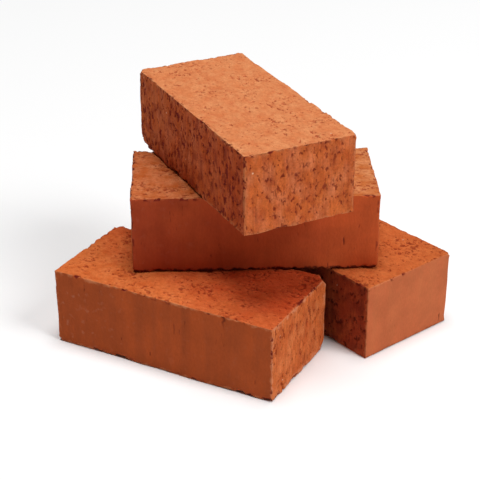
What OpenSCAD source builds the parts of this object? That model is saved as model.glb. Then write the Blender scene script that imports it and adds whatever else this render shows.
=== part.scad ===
// A loose pile of four solid fired-clay building bricks: two on the ground, one bridging them,
// and one laid crosswise on top. Nothing but weight and friction holds them together.
// +Z is up. The origin is on the ground under the middle of the pile, and the bridging brick
// lies square to the frame with its long face looking along -Y.

/* [Brick format] */
// Length of a brick, along its stretcher faces
brick_length = 230; // [190:1:250]
// Width of a brick, along its header faces
brick_width = 110; // [90:1:125]
// Height of a brick between its two bed faces, and so the height of one tier
brick_height = 76; // [50:1:100]

/* [Edges] */
// Radius that the die's corners leave along the four upright arrises
arris_radius = 2.5; // [1:0.5:8]
// Wear along the arrises of the bed faces, as the leg of a 45 degree bevel
bed_bevel = 0.8; // [0.2:0.1:2]

/* [Broken corners] */
// Leg of the piece broken off the left base brick's upper corner, on its hidden side
upper_corner_chip = 9; // [4:0.5:20]
// Leg of the piece worn off the same end, at the ground
lower_corner_chip = 11; // [4:0.5:20]
// Leg of the piece broken off the top brick's lower left corner
top_brick_chip = 9; // [4:0.5:20]

/* [Places on the ground plan] */
// Left base brick, centre, left to right
left_base_x = -61; // [-75:0.5:-58]
// Left base brick, centre, front to back
left_base_y = -54; // [-75:0.5:-50]
// Left base brick, turn seen from above, anticlockwise
left_base_turn = -30.5; // [-36:0.5:-26]
// Right base brick, centre, left to right
right_base_x = 74; // [72:0.5:90]
// Right base brick, centre, front to back
right_base_y = 35; // [34:0.5:50]
// Right base brick, turn seen from above, anticlockwise
right_base_turn = -52; // [-58:0.5:-50]
// Middle brick, centre, front to back
middle_y = 4; // [-10:0.5:15]
// Top brick, centre, left to right
top_x = -10.5; // [-30:0.5:10]
// Top brick, centre, front to back
top_y = -3.5; // [-15:0.5:10]
// Top brick, turn seen from above, anticlockwise
top_turn = -66; // [-90:0.5:-45]

/* [Hidden] */
$fn = 48;

// The three tiers, counted up from the ground
first_tier = 0;
second_tier = brick_height;
third_tier = 2 * brick_height;

// Ends and sides of a brick in its own frame: length along X, width along Y, standing on Z = 0
half_length = brick_length / 2;
half_width = brick_width / 2;

// A break is a scoop: a ball sunk into the corner. The ball's centre stands this share of its
// radius outside each of the three faces, and the scoop's leg along each arris follows from that.
ball_offset_share = 0.4;
leg_share = sqrt(1 - 2 * ball_offset_share * ball_offset_share) - ball_offset_share;

// Plan of a brick: a rectangle whose corners are rounded by the die
module plan_outline() {
    square([brick_length - 2 * arris_radius, brick_width], center = true);
    square([brick_length, brick_width - 2 * arris_radius], center = true);
    for (side_x = [-1, 1], side_y = [-1, 1])
        translate([side_x * (half_length - arris_radius), side_y * (half_width - arris_radius)])
            circle(r = arris_radius);
}

// Outline of a brick seen along a bed face: its two upper and two lower arrises are bevelled
module bevelled_outline(span) {
    half_span = span / 2;
    polygon([
        [-half_span + bed_bevel, 0],
        [half_span - bed_bevel, 0],
        [half_span, bed_bevel],
        [half_span, brick_height - bed_bevel],
        [half_span - bed_bevel, brick_height],
        [-half_span + bed_bevel, brick_height],
        [-half_span, brick_height - bed_bevel],
        [-half_span, bed_bevel]
    ]);
}

// One solid brick, centred on its own upright axis
module whole_brick() {
    intersection() {
        linear_extrude(height = brick_height) plan_outline();
        rotate([90, 0, 90])
            linear_extrude(height = brick_length, center = true) bevelled_outline(brick_width);
        rotate([90, 0, 0])
            linear_extrude(height = brick_width, center = true) bevelled_outline(brick_length);
    }
}

// The ball that scoops a break of the given leg out of one corner.
// side_x, side_y and side_z are -1 or 1 and name the corner.
module corner_break(side_x, side_y, side_z, leg) {
    ball_radius = leg / leg_share;
    outside = ball_offset_share * ball_radius;
    corner_z = side_z > 0 ? brick_height : 0;
    translate([
        side_x * (half_length + outside),
        side_y * (half_width + outside),
        corner_z + side_z * outside
    ])
        sphere(r = ball_radius);
}

// Puts a brick made in its own frame at its place and tier in the pile
module placed(x, y, turn, tier) {
    translate([x, y, tier]) rotate([0, 0, turn]) children();
}

// The brick at the front left, on the ground
module left_base_brick() {
    color([0.72, 0.36, 0.21])
        placed(left_base_x, left_base_y, left_base_turn, first_tier)
            difference() {
                whole_brick();
                corner_break(1, 1, 1, upper_corner_chip);
                corner_break(1, 1, -1, lower_corner_chip);
            }
}

// The brick at the right, on the ground, that runs away under the middle brick
module right_base_brick() {
    color([0.75, 0.40, 0.25])
        placed(right_base_x, right_base_y, right_base_turn, first_tier)
            whole_brick();
}

// The brick of the second tier, which bridges the two on the ground
module middle_brick() {
    color([0.64, 0.28, 0.14])
        placed(0, middle_y, 0, second_tier)
            whole_brick();
}

// The brick of the third tier, laid crosswise with its front end overhanging
module top_brick() {
    color([0.80, 0.46, 0.28])
        placed(top_x, top_y, top_turn, third_tier)
            difference() {
                whole_brick();
                corner_break(-1, -1, -1, top_brick_chip);
            }
}

left_base_brick();
right_base_brick();
middle_brick();
top_brick();
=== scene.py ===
"""A loose pile of four solid fired-clay building bricks.

Each brick is extruded and wire-cut. Two of its sides have the smooth skin that the die left, the other
two were dragged and torn, and its two beds are granular where the wire cut them. One Geometry Nodes
tree makes all four. Units are metres in the CAD frame. Patterns are sized in millimetres.
"""
import math

import bpy
from mathutils import Euler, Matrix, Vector
from mathutils.geometry import box_fit_2d


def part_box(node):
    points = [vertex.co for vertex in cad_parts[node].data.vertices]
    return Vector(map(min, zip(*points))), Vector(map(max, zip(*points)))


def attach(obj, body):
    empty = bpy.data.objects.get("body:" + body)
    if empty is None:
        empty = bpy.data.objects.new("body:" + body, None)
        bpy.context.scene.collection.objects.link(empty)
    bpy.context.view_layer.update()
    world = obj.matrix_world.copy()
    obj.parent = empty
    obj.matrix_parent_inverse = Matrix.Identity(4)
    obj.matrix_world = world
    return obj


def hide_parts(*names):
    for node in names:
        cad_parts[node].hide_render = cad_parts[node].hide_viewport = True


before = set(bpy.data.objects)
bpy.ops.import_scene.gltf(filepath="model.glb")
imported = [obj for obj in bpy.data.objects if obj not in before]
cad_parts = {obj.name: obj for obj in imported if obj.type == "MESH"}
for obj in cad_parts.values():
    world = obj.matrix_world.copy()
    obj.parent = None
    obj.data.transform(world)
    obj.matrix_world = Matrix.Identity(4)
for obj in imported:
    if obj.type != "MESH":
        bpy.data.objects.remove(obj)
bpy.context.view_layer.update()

MM = 0.001

# Camera: it looks at this point of the pile from this far, turned and tipped by these angles
AIM = Vector((-0.0124, 0.0, 0.0819))
CAMERA_DISTANCE = 1.404
CAMERA_HEADING = math.radians(-2.12)
CAMERA_PITCH = math.radians(27.35)
LENS_MM = 109.5

# The mesh of a brick, and how its arrises are rounded where no crumb broke out of them
CELL = 1.04 * MM
DIE_CORNER = 2.2 * MM
BED_ARRIS = 0.7 * MM
# Within the first distance of a bed an arris has the bed's radius, and past the second the die's
BED_ARRIS_ENDS = 2 * MM
DIE_CORNER_BEGINS = 7 * MM
# Nicks cut this much as deep into the upright arrises as into those of the beds
SIDE_NICK_SHARE = 0.4

# A broken corner is a scoop by a ball whose centre stands this share of its radius outside each face
BALL_OFFSET_SHARE = 0.4
LEG_SHARE = math.sqrt(1 - 2 * BALL_OFFSET_SHARE**2) - BALL_OFFSET_SHARE
# A brick has room for five broken corners, which go by these numbers
BREAKS = (1, 2, 3, 4, 5)
FRACTURE_LUMP_HEIGHT = 1.2 * MM
# A point counts fully as broken where the break moved it this far
FRACTURE_SURE = 0.8 * MM
# A break in mm that is far too small to show, for the numbers that a brick doesn't use
UNBROKEN = ((1.0, 1.0, 1.0), 0.001)

# The drying crack: half its width, with and without its sloping edges, how far it wavers from a
# straight line, and how far from the upper bed it begins to fade and ends
CRACK_EDGE = 1.5 * MM
CRACK_CORE = 0.5 * MM
CRACK_WAVER = 2.0 * MM
CRACK_FADES = 5 * MM
CRACK_ENDS = 15 * MM
# A place along the brick that lies off it, for a brick with no crack
UNCRACKED = -1.0

# How squarely a surface has to face a way, from 0 to 1, to begin to count as that face, and how
# squarely to count fully, as a bed or an end and as a drag-marked side
FACE_BEGINS = 0.5
FACE_FULL = 0.85
SIDE_FULL = 0.8

# Depths of the relief below the worn surface
WAVE_DEPTH = 1.0 * MM
DRAG_PIT_DEPTH = 1.1 * MM
DRAG_LINE_DEPTH = 0.4 * MM
SKIN_TEAR_DEPTH = 0.9 * MM
BED_PIT_DEPTH = 1.2 * MM
BED_GRIT_DEPTH = 0.35 * MM
FRACTURE_GRIT_DEPTH = 0.8 * MM

# Sizes of the marks in mm, as (along, across, up) or one number for all three
DRAG_PIT = (3.8, 3.8, 6.2)
DRAG_DASH = (2.0, 2.0, 5.0)
DRAG_LINE = (2.0, 2.0, 19.0)
BED_PIT = (5.4, 4.6, 4.6)
BED_DIMPLE = (3.5, 3.0, 3.0)
SKIN_TEAR = (2.4, 2.4, 15.0)
EDGE_CRUMB = (8.0, 8.0, 9.0)
EDGE_STRETCH = 34.0
CROWD = 24.0
WAVE = 38.0
BED_GRIT = 2.8
FRACTURE_LUMP = 4.0
LIME_SPACING = 21.0

# How far each seed moves the patterns through the clay, in mm
SEED_STEP = (371.0, 617.0, 893.0)

# Colours that the bricks share: painted shadow in the nicks, burnt lime, pale scuffs, painted contact
# shadow along the lower edges, and painted shadow in the tears and the crack
NICK_SHADOW_COLOUR = "#701E14"
LIME_COLOUR = "#E4C4A8"
SCUFF_COLOUR = "#D8A48A"
CONTACT_SHADOW_COLOUR = "#451008"
TEAR_SHADOW_COLOUR = "#571A12"
# A tone that leaves a colour as it is
EVEN = (1.0, 1.0, 1.0)

# The settings of a Mix node that lays a colour over another, and of one that multiplies them
OVER = {"out": 2, "data_type": "RGBA"}
TIMES = {"out": 2, "data_type": "RGBA", "blend_type": "MULTIPLY"}


# ------------------------------------------------------------------------------------ helpers

def linear(code):
    """An sRGB hex colour as the linear RGBA that a socket takes."""
    channels = [int(code[i:i + 2], 16) / 255 for i in (1, 3, 5)]
    return [c / 12.92 if c <= 0.04045 else ((c + 0.055) / 1.055) ** 2.4 for c in channels] + [1.0]


def add(tree, kind, feeds=None, out=0, **settings):
    """Adds a node: settings are its properties, feeds its inputs, by name or number, as values or as
    other nodes' sockets. Hands back the output that out names or numbers.

    Inputs go by number where several share a name. A Map Range's are 0 its value, 1 and 2 the range it
    comes from and 3 and 4 the range it goes to. A colour Mix's are 0 the share, 6 the colour below and
    7 the one above."""
    node = tree.nodes.new(kind)
    for name, value in settings.items():
        setattr(node, name, value)
    for name, value in (feeds or {}).items():
        if isinstance(value, bpy.types.NodeSocket):
            tree.links.new(value, node.inputs[name])
        else:
            node.inputs[name].default_value = value
    return node.outputs[out] if len(node.outputs) else node


# ------------------------------------------------------------------- patterns in the clay
# Each takes the clay coordinates: the place on the unworn brick in millimetres, moved by a different
# amount in each brick. The shape and the material read the same patterns, so they line up.

def mottle(tree, clay, size, detail=2.0, low=0.35, high=0.65):
    """Soft blotches of this size in mm, one number or three. The noise's values low and high become
    0 and 1."""
    sizes = size if isinstance(size, tuple) else (size,) * 3
    coords = add(tree, "ShaderNodeVectorMath", {0: clay, 1: sizes}, operation="DIVIDE")
    noise = add(tree, "ShaderNodeTexNoise", {"Vector": coords, "Scale": 1.0, "Detail": detail})
    return add(tree, "ShaderNodeMapRange", {0: noise, 1: low, 2: high})


def marks(tree, clay, size, start, full, gathering, more=0.0):
    """Ragged marks of this size, (x, y, z) in mm. They begin where a noise passes start and are
    deepest at full. gathering crowds them into patches and more makes them all wider."""
    coords = add(tree, "ShaderNodeVectorMath", {0: clay, 1: size}, operation="DIVIDE")
    noise = add(tree, "ShaderNodeTexNoise", {"Vector": coords, "Scale": 1.0, "Detail": 2.0})
    crowd = mottle(tree, clay, CROWD, 1.0)
    raised = add(tree, "ShaderNodeMath", {0: crowd, 1: gathering, 2: noise}, operation="MULTIPLY_ADD")
    raised = add(tree, "ShaderNodeMath", {0: raised, 1: more}, operation="ADD")
    return add(tree, "ShaderNodeMapRange", {0: raised, 1: start, 2: full},
               interpolation_type="SMOOTHSTEP")


def specks(tree, clay, spacing, radius):
    """Round grains about this far apart in mm. radius is a share of the spacing."""
    coords = add(tree, "ShaderNodeVectorMath", {0: clay, 1: (spacing,) * 3}, operation="DIVIDE")
    cells = add(tree, "ShaderNodeTexVoronoi", {"Vector": coords, "Scale": 1.0}, "Distance")
    return add(tree, "ShaderNodeMapRange", {0: cells, 1: radius, 2: radius * 0.5},
               interpolation_type="SMOOTHSTEP")


def drag_pits(tree, clay, end, pitting):
    """Upright tears with smaller dashes between them: grit caught by the die plucked them out as the
    column of clay moved past. The ends of a brick have fewer."""
    more = add(tree, "ShaderNodeMath", {0: end, 1: -0.035, 2: pitting}, operation="MULTIPLY_ADD")
    torn = marks(tree, clay, DRAG_PIT, start=0.64, full=0.71, gathering=0.08, more=more)
    dashes = marks(tree, clay, DRAG_DASH, start=0.64, full=0.75, gathering=0.08, more=more)
    faint = add(tree, "ShaderNodeMath", {0: dashes, 1: 0.7}, operation="MULTIPLY")
    return add(tree, "ShaderNodeMath", {0: torn, 1: faint}, operation="MAXIMUM")


def drag_lines(tree, clay):
    """Fine upright scratches, 1 to 3 mm apart, broken up along their height."""
    return mottle(tree, clay, DRAG_LINE, 3.0, 0.3, 0.7)


def bed_pits(tree, clay, more):
    """Holes in a wire-cut bed, a little longer along the brick, with smaller and shallower ones
    between them."""
    wide = marks(tree, clay, BED_PIT, start=0.7, full=0.79, gathering=0.16, more=more)
    small = marks(tree, clay, BED_DIMPLE, start=0.71, full=0.8, gathering=0.13, more=more)
    faint = add(tree, "ShaderNodeMath", {0: small, 1: 0.85}, operation="MULTIPLY")
    return add(tree, "ShaderNodeMath", {0: wide, 1: faint}, operation="MAXIMUM")


def skin_tears(tree, clay):
    """The few thin upright tears that a smooth die-skin has."""
    return marks(tree, clay, SKIN_TEAR, start=0.73, full=0.82, gathering=0.08)


def edge_nicks(tree, clay, more):
    """Where crumbs broke out along the arrises, in some stretches and not in others. more widens the
    stretches, and narrows them where it is negative."""
    crumbs = mottle(tree, clay, EDGE_CRUMB, 2.5, 0.45, 0.62)
    stretches = mottle(tree, clay, EDGE_STRETCH, 1.0, 0.35, 0.6)
    widened = add(tree, "ShaderNodeMath", {0: stretches, 1: more}, operation="ADD", use_clamp=True)
    return add(tree, "ShaderNodeMath", {0: crumbs, 1: widened}, operation="MULTIPLY")


# -------------------------------------------------------------------------- the brick's shape

def nearest_arris(tree, start, half):
    """How far each point is from the nearest arris along the surface, and from the nearest bed. The
    first is the middle one of its distances to the faces along X, Y and Z: the smallest is 0."""
    spread = add(tree, "ShaderNodeVectorMath", {0: start}, operation="ABSOLUTE")
    gaps = add(tree, "ShaderNodeVectorMath", {0: half, 1: spread}, operation="SUBTRACT")
    gap_x, gap_y, gap_z = add(tree, "ShaderNodeSeparateXYZ", {0: gaps}).node.outputs
    low_xy = add(tree, "ShaderNodeMath", {0: gap_x, 1: gap_y}, operation="MINIMUM")
    high_xy = add(tree, "ShaderNodeMath", {0: gap_x, 1: gap_y}, operation="MAXIMUM")
    capped = add(tree, "ShaderNodeMath", {0: high_xy, 1: gap_z}, operation="MINIMUM")
    middle = add(tree, "ShaderNodeMath", {0: low_xy, 1: capped}, operation="MAXIMUM")
    return middle, gap_z


def worn_arrises(tree, start, half, to_bed, nick, given):
    """Draws each point near an arris onto a round whose radius grows at the nicks. Hands back the new
    place and the way the surface faces there."""
    nick_radius = add(tree, "ShaderNodeMath", {0: nick, 1: given["Nick depth"]}, operation="MULTIPLY")
    bed_radius = add(tree, "ShaderNodeMath", {0: nick_radius, 1: given["Bed arris"]}, operation="ADD")
    side_radius = add(tree, "ShaderNodeMath",
                      {0: nick_radius, 1: SIDE_NICK_SHARE, 2: given["Die corner"]},
                      operation="MULTIPLY_ADD")
    near_bed = add(tree, "ShaderNodeMapRange", {0: to_bed, 1: DIE_CORNER_BEGINS, 2: BED_ARRIS_ENDS})
    radius = add(tree, "ShaderNodeMix", {0: near_bed, 2: side_radius, 3: bed_radius},
                 data_type="FLOAT")
    inner = add(tree, "ShaderNodeVectorMath", {0: half, 1: radius}, operation="SUBTRACT")
    outer = add(tree, "ShaderNodeVectorMath", {0: inner, "Scale": -1.0}, operation="SCALE")
    below = add(tree, "ShaderNodeVectorMath", {0: start, 1: inner}, operation="MINIMUM")
    core = add(tree, "ShaderNodeVectorMath", {0: below, 1: outer}, operation="MAXIMUM")
    from_core = add(tree, "ShaderNodeVectorMath", {0: start, 1: core}, operation="SUBTRACT")
    facing = add(tree, "ShaderNodeVectorMath", {0: from_core}, operation="NORMALIZE")
    rim = add(tree, "ShaderNodeVectorMath", {0: facing, "Scale": radius}, operation="SCALE")
    return add(tree, "ShaderNodeVectorMath", {0: core, 1: rim}, operation="ADD"), facing


def broken_corner(tree, place, clay, half, corner, leg):
    """Scoops one corner out with a lumpy ball. Hands back the new place and where it was broken."""
    radius = add(tree, "ShaderNodeMath", {0: leg, 1: LEG_SHARE}, operation="DIVIDE")
    outside = add(tree, "ShaderNodeMath", {0: radius, 1: BALL_OFFSET_SHARE}, operation="MULTIPLY")
    reach = add(tree, "ShaderNodeVectorMath", {0: half, 1: outside}, operation="ADD")
    centre = add(tree, "ShaderNodeVectorMath", {0: reach, 1: corner}, operation="MULTIPLY")
    away = add(tree, "ShaderNodeVectorMath", {0: place, 1: centre}, operation="SUBTRACT")
    distance = add(tree, "ShaderNodeVectorMath", {0: away}, "Value", operation="LENGTH")
    lumps = mottle(tree, clay, FRACTURE_LUMP, 2.0)
    rough_radius = add(tree, "ShaderNodeMath", {0: lumps, 1: -FRACTURE_LUMP_HEIGHT, 2: radius},
                       operation="MULTIPLY_ADD")
    short = add(tree, "ShaderNodeMath", {0: rough_radius, 1: distance}, operation="SUBTRACT")
    inside = add(tree, "ShaderNodeMath", {0: short, 1: 0.0}, operation="MAXIMUM")
    outward = add(tree, "ShaderNodeVectorMath", {0: away}, operation="NORMALIZE")
    step = add(tree, "ShaderNodeVectorMath", {0: outward, "Scale": inside}, operation="SCALE")
    moved = add(tree, "ShaderNodeVectorMath", {0: place, 1: step}, operation="ADD")
    broken = add(tree, "ShaderNodeMapRange", {0: short, 1: 0.0, 2: FRACTURE_SURE})
    return moved, broken


def drying_crack(tree, start, half, clay, along, given):
    """How much each point lies in a short crack that runs down from the upper bed, as such cracks do
    where wet clay dries too fast. Only the smooth long side shows it."""
    waver = mottle(tree, clay, 5.0, 1.0)
    away = add(tree, "ShaderNodeMath", {0: along, 1: given["Crack along"]}, operation="SUBTRACT")
    length = add(tree, "ShaderNodeSeparateXYZ", {0: given["Size"]}, "X")
    metres = add(tree, "ShaderNodeMath", {0: away, 1: length}, operation="MULTIPLY")
    metres = add(tree, "ShaderNodeMath", {0: waver, 1: CRACK_WAVER, 2: metres}, operation="MULTIPLY_ADD")
    apart = add(tree, "ShaderNodeMath", {0: metres}, operation="ABSOLUTE")
    width = add(tree, "ShaderNodeMapRange", {0: apart, 1: CRACK_EDGE, 2: CRACK_CORE})
    from_top = add(tree, "ShaderNodeVectorMath", {0: half, 1: start}, operation="SUBTRACT")
    drop = add(tree, "ShaderNodeSeparateXYZ", {0: from_top}, "Z")
    reach = add(tree, "ShaderNodeMapRange", {0: drop, 1: CRACK_ENDS, 2: CRACK_FADES})
    return add(tree, "ShaderNodeMath", {0: width, 1: reach}, operation="MULTIPLY")


def face_kinds(tree, facing, given):
    """How much of a bed, of an end and of a drag-marked side each point is on, from 0 to 1."""
    toward = add(tree, "ShaderNodeSeparateXYZ", {0: facing}).node.outputs
    upright = add(tree, "ShaderNodeMath", {0: toward["Z"]}, operation="ABSOLUTE")
    endways = add(tree, "ShaderNodeMath", {0: toward["X"]}, operation="ABSOLUTE")
    end = add(tree, "ShaderNodeMapRange", {0: endways, 1: FACE_BEGINS, 2: FACE_FULL})
    bed = add(tree, "ShaderNodeMapRange", {0: upright, 1: FACE_BEGINS, 2: FACE_FULL})
    rough = 0.0
    for side, axis, sign in (("right", "X", 1), ("left", "X", -1), ("back", "Y", 1), ("front", "Y", -1)):
        share = add(tree, "ShaderNodeMath", {0: toward[axis], 1: sign}, operation="MULTIPLY",
                    use_clamp=True)
        sharp = add(tree, "ShaderNodeMapRange", {0: share, 1: FACE_BEGINS, 2: SIDE_FULL})
        wanted = add(tree, "ShaderNodeMath", {0: sharp, 1: given["Rough " + side]},
                     operation="MULTIPLY")
        rough = add(tree, "ShaderNodeMath", {0: rough, 1: wanted}, operation="MAXIMUM")
    return bed, end, rough


def relief(tree, clay, bed, end, rough, broken, crack, given):
    """How deep each point lies below the worn surface, in metres."""
    pits = drag_pits(tree, clay, end, given["Drag pitting"])
    pit_depth = add(tree, "ShaderNodeMath", {0: pits, 1: DRAG_PIT_DEPTH}, operation="MULTIPLY")
    rough_depth = add(tree, "ShaderNodeMath",
                      {0: drag_lines(tree, clay), 1: DRAG_LINE_DEPTH, 2: pit_depth},
                      operation="MULTIPLY_ADD")
    tears = add(tree, "ShaderNodeMath", {0: skin_tears(tree, clay), 1: crack}, operation="MAXIMUM")
    skin_depth = add(tree, "ShaderNodeMath", {0: tears, 1: SKIN_TEAR_DEPTH}, operation="MULTIPLY")
    holes = bed_pits(tree, clay, given["Bed pitting"])
    hole_depth = add(tree, "ShaderNodeMath", {0: holes, 1: BED_PIT_DEPTH}, operation="MULTIPLY")
    grit_and_nick_shadow = mottle(tree, clay, BED_GRIT, 2.0, 0.3, 0.7)
    bed_depth = add(tree, "ShaderNodeMath", {0: grit_and_nick_shadow, 1: BED_GRIT_DEPTH, 2: hole_depth},
                    operation="MULTIPLY_ADD")
    side_depth = add(tree, "ShaderNodeMix", {0: rough, 2: skin_depth, 3: rough_depth},
                     data_type="FLOAT")
    face_depth = add(tree, "ShaderNodeMix", {0: bed, 2: side_depth, 3: bed_depth}, data_type="FLOAT")
    torn_depth = add(tree, "ShaderNodeMath", {0: grit_and_nick_shadow, 1: FRACTURE_GRIT_DEPTH}, operation="MULTIPLY")
    depth = add(tree, "ShaderNodeMix", {0: broken, 2: face_depth, 3: torn_depth}, data_type="FLOAT")
    waves = add(tree, "ShaderNodeMath", {0: mottle(tree, clay, WAVE, 1.0), 1: WAVE_DEPTH},
                operation="MULTIPLY")
    return add(tree, "ShaderNodeMath", {0: depth, 1: waves}, operation="ADD")


def brick_sockets(tree):
    """Gives the tree its inputs and its output. Hands back the inputs."""
    kinds = {
        "Size": "Vector", "Place": "Vector", "Turn": "Vector", "Cell": "Float", "Seed": "Float",
        "Die corner": "Float", "Bed arris": "Float", "Nick depth": "Float", "Nick spread": "Float",
        "Bed pitting": "Float", "Drag pitting": "Float", "Crack along": "Float",
        "Rough front": "Float", "Rough back": "Float", "Rough left": "Float", "Rough right": "Float",
        "Die-skin": "Material", "Drag-marked": "Material", "Wire-cut": "Material",
    }
    for n in BREAKS:
        kinds[f"Break {n} corner"] = "Vector"
        kinds[f"Break {n} leg"] = "Float"
    for name, kind in kinds.items():
        tree.interface.new_socket(name, in_out="INPUT", socket_type="NodeSocket" + kind)
    tree.interface.new_socket("Brick", in_out="OUTPUT", socket_type="NodeSocketGeometry")
    return add(tree, "NodeGroupInput").node.outputs


def brick_tree():
    """A whole brick: a fine box whose arrises are worn, whose corners may be broken, and whose faces
    are pitted and scored inward from the CAD surface."""
    tree = bpy.data.node_groups.new("fired brick", "GeometryNodeTree")
    given = brick_sockets(tree)
    cells = add(tree, "ShaderNodeVectorMath", {0: given["Size"], 1: given["Cell"]}, operation="DIVIDE")
    counts = add(tree, "ShaderNodeVectorMath", {0: cells, 1: (1.0,) * 3}, operation="ADD")
    count = add(tree, "ShaderNodeSeparateXYZ", {0: counts}).node.outputs
    shape = add(tree, "GeometryNodeMeshCube",
                {"Size": given["Size"], "Vertices X": count["X"], "Vertices Y": count["Y"],
                 "Vertices Z": count["Z"]})

    # Where each point starts: in millimetres in the clay, and as shares of the brick's size
    start = add(tree, "GeometryNodeInputPosition")
    moved = add(tree, "ShaderNodeVectorMath", {0: SEED_STEP, "Scale": given["Seed"]},
                operation="SCALE")
    clay = add(tree, "ShaderNodeVectorMath", {0: start, 1: (1 / MM,) * 3, 2: moved},
               operation="MULTIPLY_ADD")
    centred = add(tree, "ShaderNodeVectorMath", {0: start, 1: given["Size"]}, operation="DIVIDE")
    shares = add(tree, "ShaderNodeVectorMath", {0: centred, 1: (0.5,) * 3}, operation="ADD")
    along = add(tree, "ShaderNodeSeparateXYZ", {0: shares}, "X")

    # Its shape
    half = add(tree, "ShaderNodeVectorMath", {0: given["Size"], 1: (0.5,) * 3}, operation="MULTIPLY")
    to_arris, to_bed = nearest_arris(tree, start, half)
    nick = edge_nicks(tree, clay, given["Nick spread"])
    place, facing = worn_arrises(tree, start, half, to_bed, nick, given)
    broken = 0.0
    for n in BREAKS:
        place, here = broken_corner(tree, place, clay, half, given[f"Break {n} corner"],
                                    given[f"Break {n} leg"])
        broken = add(tree, "ShaderNodeMath", {0: broken, 1: here}, operation="MAXIMUM")
    bed, end, rough = face_kinds(tree, facing, given)
    crack = drying_crack(tree, start, half, clay, along, given)
    depth = relief(tree, clay, bed, end, rough, broken, crack, given)
    inward = add(tree, "ShaderNodeMath", {0: depth, 1: -1.0}, operation="MULTIPLY")
    sunk = add(tree, "ShaderNodeVectorMath", {0: facing, "Scale": inward}, operation="SCALE")
    final = add(tree, "ShaderNodeVectorMath", {0: place, 1: sunk}, operation="ADD")

    # What the materials read
    gap_mm = add(tree, "ShaderNodeMath", {0: to_arris, 1: 1 / MM}, operation="MULTIPLY")
    for name, value in (("clay", clay), ("share", shares)):
        shape = add(tree, "GeometryNodeStoreNamedAttribute",
                    {"Geometry": shape, "Name": name, "Value": value}, data_type="FLOAT_VECTOR")
    for name, value in (("arris_gap", gap_mm), ("broken", broken), ("nick", nick), ("end", end),
                        ("crack", crack), ("bed", bed), ("rough", rough)):
        shape = add(tree, "GeometryNodeStoreNamedAttribute",
                    {"Geometry": shape, "Name": name, "Value": value}, data_type="FLOAT")

    # The finished brick in its place
    shape = add(tree, "GeometryNodeSetPosition", {"Geometry": shape, "Position": final})
    shape = add(tree, "GeometryNodeTransform", {"Geometry": shape, "Translation": given["Place"],
                                                "Rotation": given["Turn"]})
    shape = add(tree, "GeometryNodeRealizeInstances", {"Geometry": shape})
    shape = add(tree, "GeometryNodeSetMaterial", {"Geometry": shape, "Material": given["Die-skin"]})
    for name, attribute in (("Drag-marked", "rough"), ("Wire-cut", "bed")):
        amount = add(tree, "GeometryNodeInputNamedAttribute", {"Name": attribute}, data_type="FLOAT")
        chosen = add(tree, "FunctionNodeCompare", {0: amount, 1: 0.5}, operation="GREATER_THAN",
                     data_type="FLOAT")
        shape = add(tree, "GeometryNodeSetMaterial",
                    {"Geometry": shape, "Selection": chosen, "Material": given[name]})
    add(tree, "NodeGroupOutput", {0: shape})
    return tree


# ------------------------------------------------------- what the materials have in common

def clay_material(name):
    """A matt, porous Principled surface, with what the brick's mesh tells its material."""
    material = bpy.data.materials.new(name)
    material.use_nodes = True
    tree = material.node_tree
    surface = tree.nodes["Principled BSDF"]
    surface.inputs["IOR"].default_value = 1.5
    surface.inputs["Specular IOR Level"].default_value = 0.12
    known = {}
    for attribute, output in (("clay", "Vector"), ("share", "Vector"), ("arris_gap", "Fac"),
                              ("broken", "Fac"), ("nick", "Fac"), ("end", "Fac"), ("crack", "Fac")):
        known[attribute] = add(tree, "ShaderNodeAttribute", {}, output, attribute_name=attribute,
                               attribute_type="GEOMETRY")
    shares = add(tree, "ShaderNodeSeparateXYZ", {0: known["share"]}).node.outputs
    known["along"], known["across"], known["up"] = shares
    return material, tree, surface, known


def painted_shade_along(tree, colour, known, left, right, lean=0.0, until=1.15):
    """Painted shade and light along the brick: the colour is multiplied by the tone left at the left
    end, and by right at the other, so that where the rest of the pile shades the brick it is drawn
    darker and redder, and where it is lit, paler. lean starts the change nearer the left end at the back
    than at the front, and until is where it ends, as a share of the length."""
    leaning = add(tree, "ShaderNodeMath", {0: known["across"], 1: lean, 2: -lean / 2},
                  operation="MULTIPLY_ADD")
    even = add(tree, "ShaderNodeMath", {0: leaning, 1: known["along"]}, operation="ADD")
    patchy = add(tree, "ShaderNodeMath", {0: mottle(tree, known["clay"], 30.0, 3.0), 1: 0.3, 2: even},
                 operation="MULTIPLY_ADD")
    share = add(tree, "ShaderNodeMapRange", {0: patchy, 1: 0.15, 2: until})
    tone = add(tree, "ShaderNodeMix", {0: share, 6: [*left, 1.0], 7: [*right, 1.0]}, **OVER)
    return add(tree, "ShaderNodeMix", {0: 1.0, 6: colour, 7: tone}, **TIMES)


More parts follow.
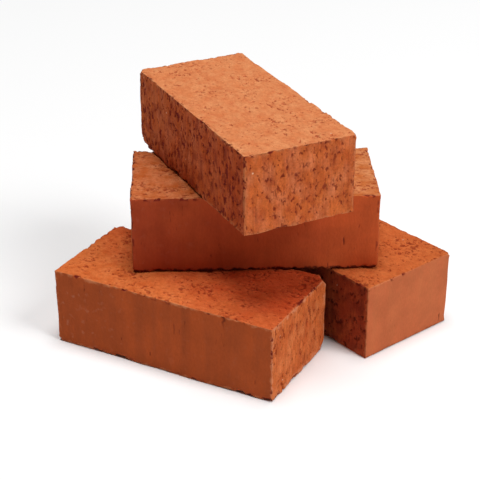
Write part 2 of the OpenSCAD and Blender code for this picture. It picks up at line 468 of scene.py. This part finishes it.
def worn(tree, colour, known, fresh, rim, amount=0.65):
    """Arrises and broken corners show the clay from inside the brick, and the deeper nicks along them
    are painted dark in patches, as the shadow inside them. rim is how wide the bare edge may be in mm,
    and amount how bare it gets."""
    clay = known["clay"]
    ragged = mottle(tree, clay, 7.0, 4.0, 0.3, 0.7)
    limit = add(tree, "ShaderNodeMath", {0: ragged, 1: rim}, operation="MULTIPLY")
    inside = add(tree, "ShaderNodeMath", {0: limit, 1: known["arris_gap"]}, operation="SUBTRACT")
    rubbed = add(tree, "ShaderNodeMapRange", {0: inside, 1: 0.0, 2: 3.0, 4: amount})
    bare = add(tree, "ShaderNodeMath", {0: rubbed, 1: known["broken"]}, operation="MAXIMUM")
    colour = add(tree, "ShaderNodeMix", {0: bare, 6: colour, 7: linear(fresh)}, **OVER)
    # Painted shadow: dark patches in the deeper nicks near the arris
    edge = add(tree, "ShaderNodeMapRange", {0: known["arris_gap"], 1: 4.0, 2: 1.5})
    deep = add(tree, "ShaderNodeMapRange", {0: known["nick"], 1: 0.3, 2: 0.6})
    grit_and_nick_shadow = add(tree, "ShaderNodeMath", {0: mottle(tree, clay, 6.0, 4.0, 0.43, 0.51), 1: deep},
               operation="MULTIPLY")
    dark = add(tree, "ShaderNodeMath", {0: grit_and_nick_shadow, 1: edge}, operation="MULTIPLY")
    return add(tree, "ShaderNodeMix", {0: dark, 6: colour, 7: linear(NICK_SHADOW_COLOUR)}, **OVER)


def speckled(tree, colour, clay):
    """Pale grains of burnt lime, up to 2 mm across, lie here and there in the rough faces."""
    lime = specks(tree, clay, LIME_SPACING, 0.05)
    strong = add(tree, "ShaderNodeMath", {0: lime, 1: 0.6}, operation="MULTIPLY")
    return add(tree, "ShaderNodeMix", {0: strong, 6: colour, 7: linear(LIME_COLOUR)}, **OVER)


def surfaced(tree, surface, colour, height, roughness, depth_mm, strength):
    """Feeds the surface its colour and its fine relief."""
    surface.inputs["Roughness"].default_value = roughness
    bump = add(tree, "ShaderNodeBump", {"Height": height, "Strength": strength,
                                        "Distance": depth_mm * MM})
    tree.links.new(colour, surface.inputs["Base Color"])
    tree.links.new(bump, surface.inputs["Normal"])


# -------------------------------------------------------------------------------- materials
# In each, fresh is the colour inside the brick, left and right are the tones of painted shade and light
# at its two ends, and pitting is what makes its pits wider and more, or fewer where it is negative.

def wire_cut_clay(brick, pitting, body, light, red, pit, fresh, left=EVEN, right=EVEN, lean=0.0,
                  until=1.15):
    """Fired clay, wire-cut bed: the wire tore the stiff clay, so it is granular, paler than the sides
    and dotted with short dark holes. Its grains are drawn 1.3 and 3 mm across, coarser than real
    ones, so that they show."""
    material, tree, surface, known = clay_material("fired clay wire-cut bed, " + brick)
    clay = known["clay"]
    pale = mottle(tree, clay, 12.0, 5.0, 0.3, 0.8)
    colour = add(tree, "ShaderNodeMix", {0: pale, 6: linear(body), 7: linear(light)}, **OVER)
    ruddy = mottle(tree, clay, (7.0, 4.0, 4.0), 4.0, 0.5, 0.9)
    colour = add(tree, "ShaderNodeMix", {0: ruddy, 6: colour, 7: linear(red)}, **OVER)
    crumbs = mottle(tree, clay, 3.0, 3.0, 0.3, 0.7)
    grain = mottle(tree, clay, 1.3, 2.0, 0.25, 0.75)
    texture = add(tree, "ShaderNodeMath", {0: crumbs, 1: grain}, operation="ADD")
    shade = add(tree, "ShaderNodeMapRange", {0: texture, 1: 0.0, 2: 2.0, 3: 0.86, 4: 1.14})
    colour = add(tree, "ShaderNodeMix", {0: 1.0, 6: colour, 7: shade}, **TIMES)
    colour = speckled(tree, colour, clay)
    colour = painted_shade_along(tree, colour, known, left, right, lean, until)
    colour = worn(tree, colour, known, fresh, 4.0)
    pits = bed_pits(tree, clay, pitting)
    stain = add(tree, "ShaderNodeMath", {0: pits, 1: 0.7}, operation="MULTIPLY")
    colour = add(tree, "ShaderNodeMix", {0: stain, 6: colour, 7: linear(pit)}, **OVER)
    height = add(tree, "ShaderNodeMath", {0: texture, 1: pits}, operation="SUBTRACT")
    surfaced(tree, surface, colour, height, roughness=0.95, depth_mm=0.5, strength=0.7)
    return material


def drag_marked_clay(brick, pitting, body, light, red, pit, fresh, left=EVEN, right=EVEN,
                     header=EVEN, scorch=0.4, rim=6.5):
    """Fired clay, drag-marked side: the skin was torn off as the column left the die, so the face is
    scored upright and full of maroon pits, with redder and paler patches between them. The end tone
    multiplies the colour of an end face and is painted light: it draws an end that faces the lamps paler
    than a long side turned from them. scorch is how much of the pits' colour stains the rest, and rim
    how wide the bare edges are in mm. The wider they are, the barer."""
    material, tree, surface, known = clay_material("fired clay drag-marked side, " + brick)
    clay = known["clay"]
    pale = mottle(tree, clay, (13.0, 13.0, 18.0), 4.0, 0.42, 0.68)
    colour = add(tree, "ShaderNodeMix", {0: pale, 6: linear(body), 7: linear(light)}, **OVER)
    ruddy = mottle(tree, clay, (8.0, 8.0, 13.0), 4.0, 0.46, 0.85)
    colour = add(tree, "ShaderNodeMix", {0: ruddy, 6: colour, 7: linear(red)}, **OVER)
    most = add(tree, "ShaderNodeMapRange", {0: known["end"], 3: scorch, 4: scorch * 0.5})
    patches = mottle(tree, clay, (9.0, 9.0, 15.0), 5.0, 0.52, 0.66)
    scorched = add(tree, "ShaderNodeMath", {0: patches, 1: most}, operation="MULTIPLY")
    colour = add(tree, "ShaderNodeMix", {0: scorched, 6: colour, 7: linear(pit)}, **OVER)
    lines = drag_lines(tree, clay)
    shade = add(tree, "ShaderNodeMapRange", {0: lines, 3: 1.12, 4: 0.86})
    colour = add(tree, "ShaderNodeMix", {0: 1.0, 6: colour, 7: shade}, **TIMES)
    grain = mottle(tree, clay, 1.6, 3.0, 0.25, 0.75)
    shade = add(tree, "ShaderNodeMapRange", {0: grain, 3: 0.84, 4: 1.16})
    colour = add(tree, "ShaderNodeMix", {0: 1.0, 6: colour, 7: shade}, **TIMES)
    colour = speckled(tree, colour, clay)
    colour = painted_shade_along(tree, colour, known, left, right)
    # Painted light: the end faces take their own tone, so that an end facing the lamps is drawn paler
    # than a long side turned from them
    tone = add(tree, "ShaderNodeMix", {0: known["end"], 6: [*EVEN, 1.0], 7: [*header, 1.0]}, **OVER)
    colour = add(tree, "ShaderNodeMix", {0: 1.0, 6: colour, 7: tone}, **TIMES)
    colour = worn(tree, colour, known, fresh, rim, rim / 10)
    pits = drag_pits(tree, clay, known["end"], pitting)
    strength = add(tree, "ShaderNodeMapRange", {0: known["end"], 3: 0.8, 4: 0.65})
    stain = add(tree, "ShaderNodeMath", {0: pits, 1: strength}, operation="MULTIPLY")
    colour = add(tree, "ShaderNodeMix", {0: stain, 6: colour, 7: linear(pit)}, **OVER)
    scored = add(tree, "ShaderNodeMath", {0: lines, 1: 0.4, 2: pits}, operation="MULTIPLY_ADD")
    height = add(tree, "ShaderNodeMath", {0: grain, 1: scored}, operation="SUBTRACT")
    surfaced(tree, surface, colour, height, roughness=0.92, depth_mm=0.5, strength=0.6)
    return material


def die_skin_clay(brick, body, band, fresh, left=EVEN, right=EVEN, scuffing=0.08, contact_shadow_strength=0.2,
                  rim=3.0):
    """Fired clay, die-skin side: slicked by the wet steel die, so it is even and close-grained, with
    faint upright bands, pale scuffs that are strongest at the left end, a painted contact shadow along
    its lower edge, and only the odd thin tear, whose inside is painted dark as shadow."""
    material, tree, surface, known = clay_material("fired clay die-skin side, " + brick)
    clay = known["clay"]
    bands = mottle(tree, clay, (9.0, 9.0, 130.0), 4.0, 0.3, 0.74)
    colour = add(tree, "ShaderNodeMix", {0: bands, 6: linear(body), 7: linear(band)}, **OVER)
    clouds = mottle(tree, clay, 20.0, 4.0)
    grain = mottle(tree, clay, (1.5, 1.5, 3.4), 3.0, 0.25, 0.75)
    for pattern in (clouds, grain):
        shade = add(tree, "ShaderNodeMapRange", {0: pattern, 3: 0.93, 4: 1.07})
        colour = add(tree, "ShaderNodeMix", {0: 1.0, 6: colour, 7: shade}, **TIMES)
    most = add(tree, "ShaderNodeMapRange", {0: known["along"], 1: 0.45, 2: 0.0, 3: scuffing * 0.2,
                                             4: scuffing})
    scuffs = add(tree, "ShaderNodeMath", {0: mottle(tree, clay, 6.0, 4.0, 0.6, 0.8), 1: most},
                 operation="MULTIPLY")
    colour = add(tree, "ShaderNodeMix", {0: scuffs, 6: colour, 7: linear(SCUFF_COLOUR)}, **OVER)
    colour = painted_shade_along(tree, colour, known, left, right)
    colour = worn(tree, colour, known, fresh, rim)
    # Painted contact shadow: a dark band with a ragged top along the bottom of the side, where the brick
    # meets what it stands on
    contact_shadow_ragging = mottle(tree, clay, 6.0, 3.0, 0.4, 0.65)
    above = add(tree, "ShaderNodeMath", {0: contact_shadow_ragging, 1: -0.035, 2: known["up"]},
                operation="MULTIPLY_ADD")
    contact_shadow = add(tree, "ShaderNodeMapRange", {0: above, 1: 0.02, 2: 0.0, 4: contact_shadow_strength})
    colour = add(tree, "ShaderNodeMix", {0: contact_shadow, 6: colour, 7: linear(CONTACT_SHADOW_COLOUR)}, **OVER)
    # Painted shadow: the tears and the drying crack are drawn dark, as the shade inside them
    tears = add(tree, "ShaderNodeMath", {0: skin_tears(tree, clay), 1: known["crack"]},
                operation="MAXIMUM")
    dark = add(tree, "ShaderNodeMath", {0: tears, 1: 0.7}, operation="MULTIPLY")
    colour = add(tree, "ShaderNodeMix", {0: dark, 6: colour, 7: linear(TEAR_SHADOW_COLOUR)}, **OVER)
    height = add(tree, "ShaderNodeMath", {0: grain, 1: tears}, operation="SUBTRACT")
    surfaced(tree, surface, colour, height, roughness=0.85, depth_mm=0.25, strength=0.5)
    return material


# ------------------------------------------------------------------------- making a brick

def brick_place(node):
    """Centre, turn about +Z and size of a CAD brick. Its own X runs along it, to the right."""
    low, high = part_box(node)
    plan = [v.co.to_2d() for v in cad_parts[node].data.vertices]
    turn = -box_fit_2d([tuple(p) for p in plan])
    unturn = Euler((0, 0, -turn)).to_matrix().to_2x2()
    flat = [unturn @ p for p in plan]
    lows = Vector((min(p.x for p in flat), min(p.y for p in flat)))
    highs = Vector((max(p.x for p in flat), max(p.y for p in flat)))
    size = highs - lows
    middle = unturn.transposed() @ ((lows + highs) / 2)
    if size.x < size.y:
        turn += math.pi / 2
        size = size.yx
    turn = (turn + math.pi / 2) % math.pi - math.pi / 2
    centre = Vector((middle.x, middle.y, (low.z + high.z) / 2))
    return centre, turn, Vector((size.x, size.y, high.z - low.z))


def grown_mesh(tree, settings):
    """The plain mesh that the tree makes with these settings of its inputs."""
    holder = bpy.data.objects.new("holder", bpy.data.meshes.new("holder"))
    bpy.context.scene.collection.objects.link(holder)
    modifier = holder.modifiers.new("fired brick", "NODES")
    modifier.node_group = tree
    for item in tree.interface.items_tree:
        if item.in_out == "INPUT":
            modifier[item.identifier] = settings[item.name]
    graph = bpy.context.evaluated_depsgraph_get()
    mesh = bpy.data.meshes.new_from_object(holder.evaluated_get(graph), depsgraph=graph)
    bpy.data.objects.remove(holder)
    mesh.shade_smooth()
    return mesh


def make_brick(tree, node, seed, rough_sides, breaks, nick_mm, nick_spread, bed_pitting,
               drag_pitting, skin, dragged, cut, crack_along=UNCRACKED):
    """One brick in the place of its CAD node. rough_sides are the two that are drag-marked. breaks
    lists up to five broken corners, each with how far in mm it took the arrises back. crack_along is
    where the crack is, as a share of the length. skin, dragged and cut are the finishes of its three
    kinds of face."""
    body = node.removesuffix("_brick")
    label = node.replace("_", " ")
    centre, turn, size = brick_place(node)
    settings = {
        "Size": size, "Place": centre, "Turn": (0.0, 0.0, turn), "Cell": CELL, "Seed": float(seed),
        "Die corner": DIE_CORNER, "Bed arris": BED_ARRIS, "Nick depth": nick_mm * MM,
        "Nick spread": nick_spread, "Bed pitting": bed_pitting, "Drag pitting": drag_pitting,
        "Crack along": crack_along,
        "Die-skin": die_skin_clay(label, **skin),
        "Drag-marked": drag_marked_clay(label, drag_pitting, **dragged),
        "Wire-cut": wire_cut_clay(label, bed_pitting, **cut),
    }
    for side in ("front", "back", "left", "right"):
        settings["Rough " + side] = 1.0 if side in rough_sides else 0.0
    for n, (corner, leg) in zip(BREAKS, [*breaks, *[UNBROKEN] * len(BREAKS)]):
        settings[f"Break {n} corner"] = corner
        settings[f"Break {n} leg"] = leg * MM
    mesh = grown_mesh(tree, settings)
    mesh.name = node + "_clay"
    piece = bpy.data.objects.new(node + "_clay", mesh)
    bpy.context.scene.collection.objects.link(piece)
    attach(piece, body)
    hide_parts(node)


# ------------------------------------------------------------------------------- the bricks
# A corner's signs say which way it lies: +X right, +Y back, +Z up, in the brick's own frame.

def left_base_brick(tree):
    """On the ground at the front, smooth side out, with a drying crack. Its beds are painted from orange
    to dark red towards the far right corner, as painted shade and red bounced light from the middle
    brick that stands on them there, and its corners at the back are the most broken."""
    make_brick(
        tree, "left_base_brick", seed=13, rough_sides=("right", "back"),
        breaks=[((1.0, 1.0, 1.0), 9.0), ((1.0, 1.0, -1.0), 11.0), ((-1.0, 1.0, 1.0), 8.0),
                ((-1.0, -1.0, -1.0), 5.0), ((1.0, -1.0, 1.0), 4.5)],
        nick_mm=4.6, nick_spread=0.15, bed_pitting=0.02, drag_pitting=0.025, crack_along=0.79,
        skin={"body": "#B65225", "band": "#A64D26", "fresh": "#D6885C", "scuffing": 0.28, "rim": 5.5},
        dragged={"body": "#D06A34", "light": "#DC7C46", "red": "#B44C22", "pit": "#7A1C10",
                 "fresh": "#D88860", "rim": 8.5},
        # Painted shade: the beds are drawn darker and redder towards the back right, under the middle
        # brick
        cut={"body": "#C8622C", "light": "#D87840", "red": "#A84018", "pit": "#8C2812",
             "fresh": "#DC8A56", "left": (1.06, 1.09, 1.17), "right": (0.85, 0.52, 0.55),
             "lean": 1.0, "until": 0.98})


def right_base_brick(tree):
    """On the ground at the right, running away to the back left, with its drag-marked side to the front
    left and its smooth end to the front right. The drag-marked side is coloured far darker and redder
    than the other bricks', partly its own colour and partly painted shade of the narrow gap between it
    and the left base brick."""
    make_brick(
        tree, "right_base_brick", seed=28, rough_sides=("front", "left"),
        breaks=[((1.0, 1.0, 1.0), 4.5)],
        nick_mm=3.0, nick_spread=-0.25, bed_pitting=0.02, drag_pitting=-0.018,
        skin={"body": "#C66840", "band": "#C46C42", "fresh": "#D08458"},
        # Partly painted shade: this drag-marked side is coloured darker for the narrow gap it faces
        # across to the left base brick
        dragged={"body": "#963A1D", "light": "#A44824", "red": "#7A2814", "pit": "#52170C",
                 "fresh": "#B0603C"},
        cut={"body": "#BC5C2C", "light": "#CC6E3A", "red": "#A44820", "pit": "#7A2210",
             "fresh": "#CC7240"})


def middle_brick(tree):
    """The bridge, smooth side out, with a painted contact shadow along its lower edge. Its smooth side
    is painted darker and redder towards the left, where the top brick shades it, and paler at the right
    end, as painted shade and light, and its beds are darker and redder towards the left.
    """
    make_brick(
        tree, "middle_brick", seed=45, rough_sides=("back", "left"), breaks=[],
        nick_mm=4.6, nick_spread=0.45, bed_pitting=0.015, drag_pitting=0.02,
        # Painted shade and light: the smooth side is drawn darker towards the left, in the top brick's
        # shadow, and paler at the right end; its last setting paints a deep contact shadow along the
        # lower edge
        skin={"body": "#B64924", "band": "#AC4421", "fresh": "#C86A3C", "left": (0.86, 0.87, 1.04),
              "right": (1.18, 1.4, 1.3), "contact_shadow_strength": 0.9},
        dragged={"body": "#C0602E", "light": "#CC703C", "red": "#A0441E", "pit": "#6A1810",
                 "fresh": "#C8764E"},
        cut={"body": "#C0612A", "light": "#DC8E5E", "red": "#AC4A20", "pit": "#8C2E14",
             "fresh": "#DC9064", "left": (0.95, 0.87, 0.87), "right": (0.95, 1.04, 1.08)})


def top_brick(tree):
    """Crosswise on the middle brick, drag-marked sides out: the long one is scorched, and is painted
    darker and redder towards its right end as painted shade; the end, which faces the lamps, is painted
    pale as painted light.
    """
    make_brick(
        tree, "top_brick", seed=52, rough_sides=("front", "right"),
        breaks=[((-1.0, -1.0, -1.0), 9.0), ((-1.0, -1.0, 1.0), 6.0), ((1.0, 1.0, 1.0), 4.0),
                ((-1.0, 1.0, 1.0), 4.0)],
        nick_mm=3.4, nick_spread=0.08, bed_pitting=-0.008, drag_pitting=0.025,
        skin={"body": "#A84C26", "band": "#9C4624", "fresh": "#C8764E"},
        # Painted shade and light: darker and redder towards the right end, and the end faces, which face
        # the lamps, drawn paler
        dragged={"body": "#C05D2D", "light": "#C86C44", "red": "#A2421E", "pit": "#701A1A",
                 "fresh": "#C8764A", "left": (1.08, 1.05, 0.97), "right": (0.92, 0.68, 0.58),
                 "header": (1.25, 1.76, 2.0), "scorch": 0.45},
        cut={"body": "#D37A4A", "light": "#E09462", "red": "#C2623A", "pit": "#9C361C",
             "fresh": "#E8A474"})


# -------------------------------------------------------------------- floor, light and camera

def make_floor():
    """A plain pale sweep of floor."""
    mesh = bpy.data.meshes.new("floor")
    reach = 9.0
    mesh.from_pydata([(-reach, -reach, 0), (reach, -reach, 0), (reach, reach, 0), (-reach, reach, 0)],
                     [], [(0, 1, 2, 3)])
    floor = bpy.data.objects.new("floor", mesh)
    bpy.context.scene.collection.objects.link(floor)
    paint = bpy.data.materials.new("matt white floor paint")
    paint.use_nodes = True
    surface = paint.node_tree.nodes["Principled BSDF"]
    surface.inputs["Base Color"].default_value = linear("#FCFCFC")
    surface.inputs["Roughness"].default_value = 0.9
    surface.inputs["Specular IOR Level"].default_value = 0.1
    mesh.materials.append(paint)


def make_light(name, place, size, watts):
    """A square white soft box that looks at the pile."""
    lamp = bpy.data.lights.new(name, "AREA")
    lamp.size = size
    lamp.energy = watts
    light = bpy.data.objects.new(name, lamp)
    light.location = place
    light.rotation_euler = (AIM - Vector(place)).to_track_quat("-Z", "Y").to_euler()
    bpy.context.scene.collection.objects.link(light)


def make_lights():
    """A wide soft box overhead, a smaller one at the front right, and a little light from the room."""
    make_light("overhead softbox", (0.0, -0.15, 7.2), size=3.6, watts=414.0)
    make_light("key softbox", (4.17, -2.93, 5.09), size=2.7, watts=216.0)
    world = bpy.data.worlds.new("white room")
    world.use_nodes = True
    room = world.node_tree.nodes["Background"]
    room.inputs["Color"].default_value = linear("#FFFFFF")
    room.inputs["Strength"].default_value = 0.045
    bpy.context.scene.world = world


def make_camera():
    """A long lens, so the bricks' upright edges stay nearly parallel."""
    lens = bpy.data.cameras.new("camera")
    lens.lens = LENS_MM
    lens.sensor_width = 36.0
    camera = bpy.data.objects.new("camera", lens)
    turn = Euler((math.pi / 2 - CAMERA_PITCH, 0.0, CAMERA_HEADING))
    camera.rotation_euler = turn
    camera.location = AIM + turn.to_matrix() @ Vector((0.0, 0.0, CAMERA_DISTANCE))
    bpy.context.scene.collection.objects.link(camera)
    bpy.context.scene.camera = camera


make_camera()
make_floor()
make_lights()
bricks = brick_tree()
left_base_brick(bricks)
right_base_brick(bricks)
middle_brick(bricks)
top_brick(bricks)
bpy.context.scene.view_settings.view_transform = "Standard"
